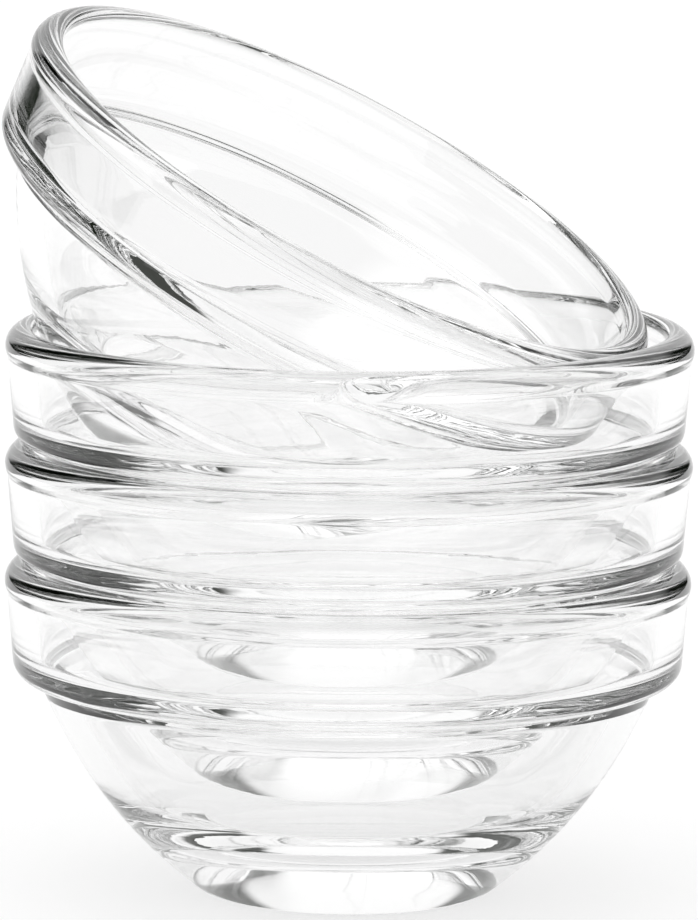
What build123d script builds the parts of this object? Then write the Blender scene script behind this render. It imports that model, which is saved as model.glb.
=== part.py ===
from build123d import *
from math import acos, asin, atan2, cos, degrees, hypot, pi, radians, sin, sqrt, tan
import os

# A stack of four alike prep bowls in clear pressed glass: three nested upright, the last set askew on top.
# Millimetres, +Z up. The origin is the centre of the bottom bowl's foot, on the table.

# Lip: a broad roll outside and a tight one inside, so the two rounds together are the wall's thickness
lip_radius = 45.0
lip_outer_round = 2.6
lip_inner_round = 1.1
bead_proud = 0.3  # how far the lip's roll stands out from the collar
bead_blend = 1.2  # hollow under the roll

# Collar: the band between the shoulder and the lip, drawn in downwards so that it leaves its mould
collar_height = 15.3  # underside of the shoulder to the top of the lip
collar_taper = 0.95
inner_taper = 0.9

# Shoulder: the step that the bowl hangs by on the lip of the bowl below
shoulder_round = 2.5
shoulder_flat = 0.85
neck_round = 0.8

# Body and foot
body_height = 28.4  # table to the underside of the shoulder
body_round = 62.5  # radius of the side's curve
foot_radius = 18.8
foot_round = 3.0

# Inside
body_wall = 3.4
base_thickness = 9.5
floor_round = 15.0
ledge_top = 3.5  # where the inner collar ends, above the underside of the shoulder
ledge_bottom = -1.0  # where the inner side of the body begins, a little below it
ledge_round = 3.0

# How the bowls stand in each other
seat_gap = 0.25
upright_bowls = ["bottom_bowl", "second_bowl", "third_bowl"]
lean_angle = 28.5  # tilt of the top bowl, in degrees
lean_heading = -18.5  # way its low side points, in degrees from +X
settle_steps = 80
ring_points = 180

# Heights and radii that follow from the sizes above
bowl_height = body_height + collar_height
lip_ring_radius = lip_radius - lip_outer_round
lip_outer_height = bowl_height - lip_outer_round
lip_inner_height = bowl_height - lip_inner_round
bead_turn = degrees(acos((lip_outer_round - bead_proud) / lip_outer_round))
bead_height = lip_outer_height - lip_outer_round * sin(radians(bead_turn))
collar_top_radius = lip_radius - bead_proud
collar_bottom_radius = collar_top_radius - collar_taper
inner_lip_radius = lip_ring_radius - lip_inner_round
ledge_corner = (inner_lip_radius - inner_taper, body_height + ledge_top)

# The shoulder's round touches the collar and the flat underside
collar_lean = atan2(collar_taper, bead_height - body_height)
shoulder_reach = shoulder_round / tan((pi / 2 + collar_lean) / 2)
shoulder_centre = (collar_bottom_radius - shoulder_reach, body_height + shoulder_round)
neck_radius = shoulder_centre[0] - shoulder_flat

# The side's curve runs from the foot to the neck, with its centre beyond the bowl's axis
chord = hypot(neck_radius - foot_radius, body_height)
centre_offset = sqrt(body_round**2 - chord**2 / 4)
body_centre = (
    (neck_radius + foot_radius) / 2 - centre_offset * body_height / chord,
    body_height / 2 + centre_offset * (neck_radius - foot_radius) / chord,
)
inner_round = body_round - body_wall

# One bowl hangs on the next where the shoulder's round meets the outer roll of the lip
seat_reach = lip_outer_round + shoulder_round + seat_gap
seat_rise = sqrt(seat_reach**2 - (lip_ring_radius - shoulder_centre[0]) ** 2)
nest_pitch = lip_outer_height + seat_rise - shoulder_centre[1]


def angle_at(height):
    # Angle on the inner side's curve at a height above the foot, in degrees
    return degrees(asin((height - body_centre[1]) / inner_round))


def bowl_at(seat):
    # One bowl: half its section, drawn upright on its seat and turned about the seat's axis
    section_plane = Plane(origin=seat.origin, x_dir=seat.x_dir, z_dir=-seat.y_dir)
    floor_angle = angle_at(base_thickness)
    ledge_angle = angle_at(body_height + ledge_bottom)
    with BuildPart() as bowl:
        with BuildSketch(section_plane) as section:
            with BuildLine():
                lip_centre = (lip_ring_radius, lip_outer_height)
                outer_lip = CenterArc(lip_centre, lip_outer_round, -bead_turn, 90 + bead_turn)
                inner_lip = CenterArc((lip_ring_radius, lip_inner_height), lip_inner_round, 90, 90)
                inner_body = CenterArc(body_centre, inner_round, ledge_angle, floor_angle - ledge_angle)
                Polyline(inner_lip @ 1, ledge_corner, inner_body @ 0)
                Polyline(inner_body @ 1, (0, base_thickness), (0, 0), (foot_radius, 0))
                outer_body = RadiusArc((foot_radius, 0), (neck_radius, body_height), -body_round)
                Polyline(outer_body @ 1, (collar_bottom_radius, body_height), outer_lip @ 0)
            make_face()
            rounded_corners = [
                ((collar_bottom_radius, body_height), shoulder_round),
                ((neck_radius, body_height), neck_round),
                ((collar_top_radius, bead_height), bead_blend),
                ((foot_radius, 0), foot_round),
                (inner_body @ 1, floor_round),
                (inner_body @ 0, ledge_round),
                (ledge_corner, ledge_round),
            ]
            for corner, corner_round in rounded_corners:
                fillet(section.vertices().sort_by_distance(corner)[0], corner_round)
        revolve(axis=Axis(seat.origin, seat.z_dir))
    return bowl


def lip_point(turn, shift, height):
    # Radius and height, from the leaning bowl's own foot, of a point on the lip ring that it lies on
    tilt = radians(lean_angle)
    along = lip_ring_radius * cos(turn) - shift
    across = lip_ring_radius * sin(turn)
    up = lip_inner_height - height
    return hypot(along * cos(tilt) - up * sin(tilt), across), along * sin(tilt) + up * cos(tilt)


def lip_gap(point, centre, curve_round):
    # Space between the lip's inner roll and a curve of the leaning bowl
    return hypot(point[0] - centre[0], point[1] - centre[1]) - curve_round - lip_inner_round


def lean_seat(lower_seat):
    # The top bowl slides and rises until its side bears on the lip at one point behind it,
    # and its shoulder bears on the lip at a point each side
    shift = -bowl_height * sin(radians(lean_angle))
    height = bowl_height * (1.5 - cos(radians(lean_angle)))
    for _ in range(settle_steps):
        ring = [lip_point(pi * n / ring_points, shift, height) for n in range(ring_points + 1)]
        side_gap = lip_gap(ring[-1], body_centre, body_round)
        shoulder_gap = min(lip_gap(point, shoulder_centre, shoulder_round) for point in ring)
        shift += seat_gap - side_gap
        height += seat_gap - shoulder_gap
    heading = Vector(1, 0, 0).rotate(Axis.Z, lean_heading)
    lean_axis = heading.cross(Vector(0, 0, 1))
    foot_centre = lower_seat.origin + heading * shift + Vector(0, 0, height)
    return Plane(
        origin=foot_centre,
        x_dir=heading.rotate(Axis((0, 0, 0), lean_axis), -lean_angle),
        z_dir=Vector(0, 0, 1).rotate(Axis((0, 0, 0), lean_axis), -lean_angle),
    )


seats = {name: Plane.XY.offset(nest_pitch * level) for level, name in enumerate(upright_bowls)}
seats["top_bowl"] = lean_seat(seats[upright_bowls[-1]])

os.makedirs("parts", exist_ok=True)
for name, seat in seats.items():
    bowl = bowl_at(seat)
    bowl.part.label = name
    export_step(bowl.part, f"parts/{name}.step")
    foot_centre = [round(value, 3) for value in seat.origin]
    print(name, "foot centre", foot_centre, "volume", round(bowl.part.volume))
print("nest pitch", round(nest_pitch, 3), "neck radius", round(neck_radius, 3))
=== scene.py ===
from math import acos, asin, atan2, cos, hypot, pi, radians, sin, sqrt, tan

import bmesh
import bpy
from mathutils import Matrix, Vector, noise


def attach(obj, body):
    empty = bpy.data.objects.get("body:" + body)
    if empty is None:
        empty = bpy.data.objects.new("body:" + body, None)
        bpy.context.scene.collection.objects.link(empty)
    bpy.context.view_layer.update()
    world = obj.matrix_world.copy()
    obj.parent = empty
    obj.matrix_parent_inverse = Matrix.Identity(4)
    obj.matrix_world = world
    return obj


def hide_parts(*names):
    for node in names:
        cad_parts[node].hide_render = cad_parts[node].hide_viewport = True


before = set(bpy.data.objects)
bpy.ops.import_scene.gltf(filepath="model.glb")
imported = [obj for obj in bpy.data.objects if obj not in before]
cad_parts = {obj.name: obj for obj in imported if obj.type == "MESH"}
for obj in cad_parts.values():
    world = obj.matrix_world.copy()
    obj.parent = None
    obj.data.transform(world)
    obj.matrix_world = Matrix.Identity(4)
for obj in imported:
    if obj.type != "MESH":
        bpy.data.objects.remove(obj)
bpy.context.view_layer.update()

mm = 0.001
scene = bpy.context.scene


def hexColour(text):
    # sRGB hex to linear red, green, blue and alpha
    channels = [int(text[n : n + 2], 16) / 255 for n in (1, 3, 5)]
    linear = [c / 12.92 if c <= 0.04045 else ((c + 0.055) / 1.055) ** 2.4 for c in channels]
    return (*linear, 1.0)


def addNode(tree, kind, settings=None, links=None):
    # One node with its settings (properties or input values) and what feeds its inputs
    node = tree.nodes.new(kind)
    for name, value in (settings or {}).items():
        if isinstance(name, str) and hasattr(node, name):
            setattr(node, name, value)
        else:
            node.inputs[name].default_value = value
    for name, source in (links or {}).items():
        tree.links.new(source, node.inputs[name])
    return node


# Camera: a long lens a little above the stack, turned half a degree as the picture is
cameraView = {
    "place": Vector((0, -1042.3, 214.65)) * mm,
    "aim": Vector((0, 0, 56.95)) * mm,
    "focalPixels": 8061.7,
    "pictureHeight": 920,  # pixels
    "sensorHeight": 36,  # millimetres
    "roll": radians(0.5),
    "nearest": 0.05,  # metres from the lens
    "farthest": 100,
}


def makeCamera(view):
    camera = bpy.data.cameras.new("photoCamera")
    camera.sensor_fit = "VERTICAL"
    camera.sensor_height = view["sensorHeight"]
    camera.lens = view["focalPixels"] * view["sensorHeight"] / view["pictureHeight"]
    camera.clip_start = view["nearest"]
    camera.clip_end = view["farthest"]
    body = bpy.data.objects.new("photoCamera", camera)
    scene.collection.objects.link(body)
    look = (view["aim"] - view["place"]).to_track_quat("-Z", "Y").to_matrix().to_4x4()
    body.matrix_world = Matrix.Translation(view["place"]) @ look @ Matrix.Rotation(view["roll"], 4, "Z")
    scene.camera = body
    print("camera in place")


makeCamera(cameraView)


# Clear soda-lime glass, pressed in a polished mould: water clear and bright, dark only where it bends
# the dim room into view, with long shallow draw lines round the bowl that break up what is seen through it
glassLook = {
    "tint": "#ffffff",
    "ior": 1.52,
    "drawLineLength": 55,  # millimetres along a line, round the bowl
    "drawLineWidth": 2.4,  # millimetres across a line
    "drawLineDepth": 0.006,  # millimetres
    "roughness": (0.0, 0.012),  # of the clearer and the duller patches
    "mottle": 9,  # millimetres between those patches
    "mottleRange": (0.45, 0.75),  # part of the noise that runs from clear to dull
}


def makeGlass(look):
    material = bpy.data.materials.new("pressedSodaLimeGlass")
    material.use_nodes = True
    tree = material.node_tree
    tree.nodes.clear()
    own = addNode(tree, "ShaderNodeAttribute", {"attribute_name": "ownPlace"})
    along = 1 / (look["drawLineLength"] * mm)
    across = 1 / (look["drawLineWidth"] * mm)
    lay = addNode(
        tree,
        "ShaderNodeMapping",
        {"Scale": (along, along, across)},
        {"Vector": own.outputs["Vector"]},
    )
    lines = addNode(
        tree,
        "ShaderNodeTexNoise",
        {"Scale": 1.0, "Detail": 2.0, "Roughness": 0.45},
        {"Vector": lay.outputs["Vector"]},
    )
    relief = addNode(
        tree,
        "ShaderNodeBump",
        {"Strength": 1.0, "Distance": look["drawLineDepth"] * mm},
        {"Height": lines.outputs["Fac"]},
    )
    patches = addNode(
        tree,
        "ShaderNodeTexNoise",
        {"Scale": 1 / (look["mottle"] * mm), "Detail": 3.0},
        {"Vector": own.outputs["Vector"]},
    )
    clear, dull = look["roughness"]
    clearTo, dullFrom = look["mottleRange"]
    polish = addNode(
        tree,
        "ShaderNodeMapRange",
        {"From Min": clearTo, "From Max": dullFrom, "To Min": clear, "To Max": dull},
        {"Value": patches.outputs["Fac"]},
    )
    glass = addNode(
        tree,
        "ShaderNodeBsdfPrincipled",
        {"Base Color": hexColour(look["tint"]), "IOR": look["ior"], "Transmission Weight": 1.0},
        {"Roughness": polish.outputs["Result"], "Normal": relief.outputs["Normal"]},
    )
    addNode(tree, "ShaderNodeOutputMaterial", {}, {"Surface": glass.outputs["BSDF"]})
    return material


pressedGlass = makeGlass(glassLook)
print("glass ready")


# One bowl in millimetres, its foot at the origin; its width and height come from the frame
bowlShape = {
    "lipOuterRound": 2.6,
    "lipInnerRound": 1.1,
    "beadProud": 0.3,  # lip past the collar
    "beadBlend": 1.2,
    "collarHeight": 15.3,
    "collarTaper": 0.95,
    "innerTaper": 0.9,
    "shoulderRound": 2.5,
    "shoulderFlat": 0.85,
    "neckRound": 0.8,
    "bodyRound": 62.5,
    "footRadius": 18.8,
    "footRound": 3.0,
    "bodyWall": 3.4,
    "baseThickness": 9.5,
    "floorRound": 15.0,
    "ledgeTop": 3.5,  # above the underside of the shoulder
    "ledgeBottom": -1.0,
    "ledgeRound": 3.0,
    "facets": 256,  # round the bowl
    "pieces": {  # in each stretch of the section
        "flat": 8,
        "floor": 8,
        "side": 30,
        "lipInner": 8,
        "lipOuter": 18,
        "neck": 6,
        "foot": 6,
        "shoulder": 14,
        "bead": 4,
        "ledgeLow": 6,
        "ledgeHigh": 10,
    },
    "longEdge": 3,  # a longer edge of the section is cut up, so that the wall can be uneven
    "longEdgeCuts": 7,
    "weld": 0.002,  # points closer than this are one
    "waveLength": 19,  # slow unevenness of the pressed wall
    "waveDepth": 0.05,
    "wallsApart": 30,  # makes the inside uneven in another way than the outside
    "bowlsApart": 7,  # and each bowl in another way than the next
}


def lineTo(bm, start, radius, height, pieces=1):
    # Straight stretch of the section, in a few pieces
    first = start.co.copy()
    for n in range(pieces):
        end = bm.verts.new(first.lerp(Vector((radius, 0, height)), (n + 1) / pieces))
        bm.edges.new((start, end))
        start = end
    return end


def arcTo(bm, start, centre, turn, pieces):
    # Round stretch of the section about a centre; a positive turn runs from +X up to +Z
    swept = bmesh.ops.spin(
        bm, geom=[start], cent=(centre[0], 0, centre[1]), axis=(0, -1, 0), angle=turn, steps=pieces
    )
    return swept["geom_last"][0]


def roundOff(bm, corner, radius, pieces):
    # The corner's two edges give how far back along them the round begins
    toward = [(edge.other_vert(corner).co - corner.co).normalized() for edge in corner.link_edges]
    reach = radius / tan(toward[0].angle(toward[1]) / 2)
    bmesh.ops.bevel(
        bm, geom=[corner], offset=reach, segments=pieces, profile=0.5, affect="VERTICES", material=-1
    )


def drawSection(bm, shape, lipRadius, bowlHeight):
    # Half the bowl's section: from the middle of its floor, up the inside, over the lip, down to the foot
    s = shape
    bodyHeight = bowlHeight - s["collarHeight"]
    lipRing = lipRadius - s["lipOuterRound"]
    outerHeight = bowlHeight - s["lipOuterRound"]
    innerHeight = bowlHeight - s["lipInnerRound"]
    innerLip = lipRing - s["lipInnerRound"]
    beadTurn = acos(1 - s["beadProud"] / s["lipOuterRound"])
    beadHeight = outerHeight - s["lipOuterRound"] * sin(beadTurn)
    collarBottom = lipRadius - s["beadProud"] - s["collarTaper"]
    collarLean = atan2(s["collarTaper"], beadHeight - bodyHeight)
    shoulderReach = s["shoulderRound"] / tan((pi / 2 + collarLean) / 2)
    neckRadius = collarBottom - shoulderReach - s["shoulderFlat"]

    # centre of the side's curve, beyond the bowl's axis
    chord = hypot(neckRadius - s["footRadius"], bodyHeight)
    back = sqrt(s["bodyRound"] ** 2 - chord**2 / 4)
    curveRadius = (neckRadius + s["footRadius"]) / 2 - back * bodyHeight / chord
    curveHeight = bodyHeight / 2 + back * (neckRadius - s["footRadius"]) / chord
    curve = (curveRadius, curveHeight)
    inner = s["bodyRound"] - s["bodyWall"]

    # rounds that lie against the side's curve and a flat: floor, neck and foot
    floorRise = s["baseThickness"] + s["floorRound"] - curveHeight
    floorReach = inner - s["floorRound"]
    floorCentre = (curveRadius + sqrt(floorReach**2 - floorRise**2), curveHeight + floorRise)
    floorTurn = asin(floorRise / floorReach)
    neckRise = bodyHeight - s["neckRound"] - curveHeight
    neckReach = s["bodyRound"] + s["neckRound"]
    neckCentre = (curveRadius + sqrt(neckReach**2 - neckRise**2), curveHeight + neckRise)
    neckTurn = asin(neckRise / neckReach)
    footRise = s["footRound"] - curveHeight
    footReach = s["bodyRound"] - s["footRound"]
    footCentre = (curveRadius + sqrt(footReach**2 - footRise**2), curveHeight + footRise)
    footTurn = asin(footRise / footReach)
    ledgeTurn = asin((bodyHeight + s["ledgeBottom"] - curveHeight) / inner)

    # up the inside
    pieces = s["pieces"]
    here = bm.verts.new((0, 0, s["baseThickness"]))
    here = lineTo(bm, here, floorCentre[0], s["baseThickness"], pieces["flat"])
    here = arcTo(bm, here, floorCentre, floorTurn + pi / 2, pieces["floor"])
    ledgeLow = arcTo(bm, here, curve, ledgeTurn - floorTurn, pieces["side"])
    ledgeHigh = lineTo(bm, ledgeLow, innerLip - s["innerTaper"], bodyHeight + s["ledgeTop"])
    here = lineTo(bm, ledgeHigh, innerLip, innerHeight)

    # over the lip and down the outside
    here = arcTo(bm, here, (lipRing, innerHeight), -pi / 2, pieces["lipInner"])
    beadEnd = arcTo(bm, here, (lipRing, outerHeight), -pi / 2 - beadTurn, pieces["lipOuter"])
    shoulder = lineTo(bm, beadEnd, collarBottom, bodyHeight)
    here = lineTo(bm, shoulder, neckCentre[0], bodyHeight)
    here = arcTo(bm, here, neckCentre, pi / 2 + neckTurn, pieces["neck"])
    here = arcTo(bm, here, curve, footTurn - neckTurn, pieces["side"])
    here = arcTo(bm, here, footCentre, -pi / 2 - footTurn, pieces["foot"])
    lineTo(bm, here, 0, 0, pieces["flat"])

    roundOff(bm, shoulder, s["shoulderRound"], pieces["shoulder"])
    roundOff(bm, beadEnd, s["beadBlend"], pieces["bead"])
    roundOff(bm, ledgeLow, s["ledgeRound"], pieces["ledgeLow"])
    roundOff(bm, ledgeHigh, s["ledgeRound"], pieces["ledgeHigh"])
    longEdges = [edge for edge in bm.edges if edge.calc_length() > s["longEdge"]]
    bmesh.ops.subdivide_edges(bm, edges=longEdges, cuts=s["longEdgeCuts"])


def seatOf(node):
    # Where a packed bowl stands: its own upright axis, from its largest flat, and the middle of its foot
    mesh = node.data
    flat = max(mesh.polygons, key=lambda face: face.area)
    middle = sum((vert.co for vert in mesh.vertices), Vector()) / len(mesh.vertices)
    up = flat.normal.normalized()
    if (middle - flat.center).dot(up) < 0:
        up = -up
    side = Vector((0, 1, 0)).cross(up).normalized()
    turn = Matrix((side, up.cross(side), up))  # into the bowl's own axes
    own = [turn @ vert.co for vert in mesh.vertices]
    low = Vector([min(place[n] for place in own) for n in range(3)])
    high = Vector([max(place[n] for place in own) for n in range(3)])
    foot = Vector(((low.x + high.x) / 2, (low.y + high.y) / 2, low.z))
    size = (high - low) / mm
    return Matrix.Translation(turn.transposed() @ foot) @ turn.transposed().to_4x4(), size


def bowlForm(shape, lipRadius, bowlHeight):
    # The section turned into one upright bowl, in millimetres
    bm = bmesh.new()
    drawSection(bm, shape, lipRadius, bowlHeight)
    section = bm.verts[:] + bm.edges[:]
    bmesh.ops.spin(
        bm,
        geom=section,
        cent=(0, 0, 0),
        axis=(0, 0, 1),
        angle=2 * pi,
        steps=shape["facets"],
        use_merge=True,
    )
    bmesh.ops.remove_doubles(bm, verts=bm.verts, dist=shape["weld"])
    bmesh.ops.recalc_face_normals(bm, faces=bm.faces)
    for face in bm.faces:
        face.smooth = True
    bm.normal_update()
    return bm


def makeBowl(name, shape, form, glass, seat, batch):
    bm = form.copy()
    bm.normal_update()
    # the pressed wall is a little uneven, always into the glass, so the bowl stays inside its CAD size
    bowlShift = Vector((0, 0, shape["bowlsApart"] * batch))
    for vert in bm.verts:
        wallPlace = vert.co + vert.normal * shape["wallsApart"]
        swell = noise.noise(wallPlace / shape["waveLength"] + bowlShift)
        vert.co -= vert.normal * shape["waveDepth"] * (0.5 + 0.5 * swell)  # swell runs from -1 to 1
    # for the draw lines: across the bowl, and up its wall
    ownPlaces = [(v.co.x * mm, v.co.y * mm, (hypot(v.co.x, v.co.y) + v.co.z) * mm) for v in bm.verts]
    bmesh.ops.transform(bm, matrix=seat @ Matrix.Scale(mm, 4), verts=bm.verts)
    mesh = bpy.data.meshes.new(name + "Glass")
    bm.to_mesh(mesh)
    bm.free()
    kept = mesh.attributes.new("ownPlace", "FLOAT_VECTOR", "POINT")
    kept.data.foreach_set("vector", [value for place in ownPlaces for value in place])
    bowl = bpy.data.objects.new(name + "Glass", mesh)
    scene.collection.objects.link(bowl)
    mesh.materials.append(glass)
    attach(bowl, name)
    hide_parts(name)
    print(name, "made,", len(mesh.polygons), "faces")


bowlNames = ("bottom_bowl", "second_bowl", "third_bowl", "top_bowl")
seats = [seatOf(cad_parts[name]) for name in bowlNames]
bowlSize = seats[0][1]  # the bottom bowl's; all four are alike
pressedForm = bowlForm(bowlShape, max(bowlSize.x, bowlSize.y) / 2, bowlSize.z)
for batch, name in enumerate(bowlNames):
    makeBowl(name, bowlShape, pressedForm, pressedGlass, seats[batch][0], batch)
pressedForm.free()


# Studio: a wide matt table, lit up to white, under three soft white cards in a dim room
studioLook = {
    "tableSize": 12.0,  # metres
    "tablePaint": "#959595",
    "tableGlow": 0.7,  # brings the lit table up to white in the glass
    "pictureGlow": 0.74,  # and in the picture, where the shadow stays faint
    "room": "#1f241d",  # grey green of the dim room round the table
    # each card: the way to its middle, degrees from there to where it is full and where it ends, its tone
    "cards": [
        ((-0.369, -0.172, 0.914), 29, 47, 1.42),  # large, overhead, to the left and front
        ((0.612, 0.354, 0.707), 26, 38, 1.0),  # above, to the right and behind
        ((-0.038, 0.939, 0.342), 24, 29, 1.0),  # low, straight behind
    ],
    "bounces": 32,  # enough for light to find its way through the nested walls
    "glossyBounces": 16,
}


def makeTable(look):
    bm = bmesh.new()
    bmesh.ops.create_grid(bm, x_segments=4, y_segments=4, size=look["tableSize"] / 2)
    mesh = bpy.data.meshes.new("table")
    bm.to_mesh(mesh)
    bm.free()
    table = bpy.data.objects.new("table", mesh)
    scene.collection.objects.link(table)
    material = bpy.data.materials.new("mattWhiteTable")
    material.use_nodes = True
    tree = material.node_tree
    tree.nodes.clear()
    paint = addNode(tree, "ShaderNodeBsdfDiffuse", {"Color": hexColour(look["tablePaint"])})
    rays = addNode(tree, "ShaderNodeLightPath")
    inGlass = addNode(
        tree,
        "ShaderNodeMath",
        {"operation": "MAXIMUM"},
        {0: rays.outputs["Is Glossy Ray"], 1: rays.outputs["Is Transmission Ray"]},
    )
    glassLevel = addNode(
        tree,
        "ShaderNodeMath",
        {"operation": "MULTIPLY", 1: look["tableGlow"]},
        {0: inGlass.outputs["Value"]},
    )
    level = addNode(
        tree,
        "ShaderNodeMix",
        {"B": look["pictureGlow"]},
        {"Factor": rays.outputs["Is Camera Ray"], "A": glassLevel.outputs["Value"]},
    )
    glow = addNode(tree, "ShaderNodeEmission", {}, {"Strength": level.outputs["Result"]})
    both = addNode(tree, "ShaderNodeAddShader", {}, {0: paint.outputs["BSDF"], 1: glow.outputs["Emission"]})
    addNode(tree, "ShaderNodeOutputMaterial", {}, {"Surface": both.outputs["Shader"]})
    mesh.materials.append(material)


def makeRoom(look):
    world = bpy.data.worlds.new("dimRoomWithCards")
    scene.world = world
    world.use_nodes = True
    tree = world.node_tree
    tree.nodes.clear()
    way = addNode(tree, "ShaderNodeTexCoord")
    # sockets of a Mix node that mixes colours
    mixShare = 0
    mixUnder = 6
    mixOver = 7
    mixResult = 2
    colour = None
    for middle, full, end, cardTone in look["cards"]:
        facing = addNode(
            tree,
            "ShaderNodeVectorMath",
            {"operation": "DOT_PRODUCT", 1: Vector(middle).normalized()},
            {0: way.outputs["Generated"]},
        )
        share = addNode(
            tree,
            "ShaderNodeMapRange",
            {
                "interpolation_type": "SMOOTHSTEP",
                "From Min": cos(radians(end)),
                "From Max": cos(radians(full)),
            },
            {"Value": facing.outputs["Value"]},
        )
        cardColour = (cardTone, cardTone, cardTone, 1)
        mixed = addNode(
            tree,
            "ShaderNodeMix",
            {"data_type": "RGBA", mixUnder: hexColour(look["room"]), mixOver: cardColour},
            {mixShare: share.outputs["Result"]},
        )
        if colour:
            tree.links.new(colour, mixed.inputs[mixUnder])  # the cards before lie under this one
        colour = mixed.outputs[mixResult]
    # the picture's background and the table see an even white instead
    rays = addNode(tree, "ShaderNodeLightPath")
    even = addNode(
        tree,
        "ShaderNodeMath",
        {"operation": "MAXIMUM"},
        {0: rays.outputs["Is Camera Ray"], 1: rays.outputs["Is Diffuse Ray"]},
    )
    seen = addNode(
        tree,
        "ShaderNodeMix",
        {"data_type": "RGBA", mixOver: hexColour("#ffffff")},
        {mixShare: even.outputs["Value"], mixUnder: colour},
    )
    air = addNode(tree, "ShaderNodeBackground", {}, {"Color": seen.outputs[mixResult]})
    addNode(tree, "ShaderNodeOutputWorld", {}, {"Surface": air.outputs["Background"]})
    scene.view_settings.view_transform = "Standard"
    scene.cycles.max_bounces = look["bounces"]
    scene.cycles.transmission_bounces = look["bounces"]
    scene.cycles.glossy_bounces = look["glossyBounces"]


makeTable(studioLook)
makeRoom(studioLook)
print("studio ready")
